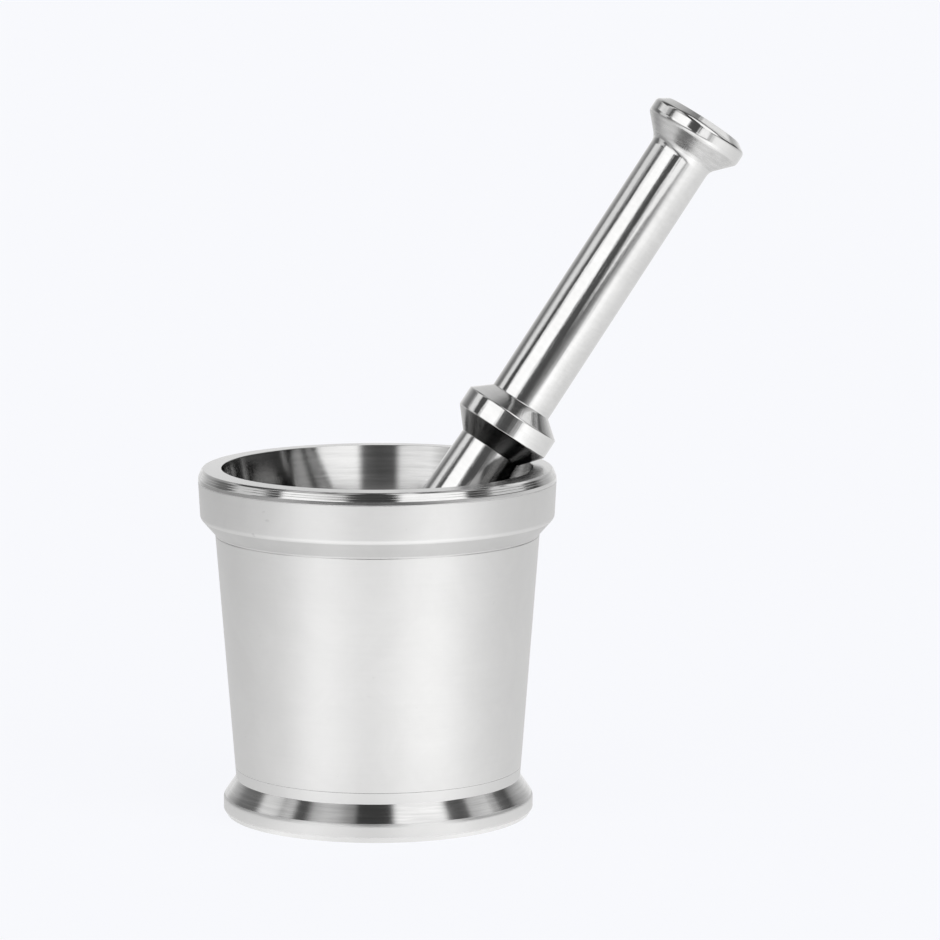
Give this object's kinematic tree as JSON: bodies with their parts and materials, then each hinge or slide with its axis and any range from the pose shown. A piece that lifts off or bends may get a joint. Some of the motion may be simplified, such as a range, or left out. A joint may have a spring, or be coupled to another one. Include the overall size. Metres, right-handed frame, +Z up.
{
  "type": "pill crusher",
  "caption": "Turned stainless steel mortar with a rim band and a flared foot, and a solid steel pestle with a collar and knob leaning in it, for crushing pills by hand.",
  "frame": {"origin": "centre of the face that the mortar stands on", "axes": "+Z up along the mortar's axis; the pestle leans towards +X, with its knob a little towards +Y"},
  "size_m": [0.114, 0.075, 0.1496],
  "materials": {
    "satin_steel": "satin, fine turned lines, with a bright rim and foot cone",
    "polished_steel": "polished along a lathe, with fine scratches"
  },
  "bodies": {
    "mortar": {"mortar": "satin_steel"},
    "pestle": {"pestle": "polished_steel"}
  },
  "joints": [
    {"name": "pestle_lift", "type": "slide", "parent": "mortar", "child": "pestle", "axis": [0, 0, 1], "range_m": [0, 0.09]}
  ]
}
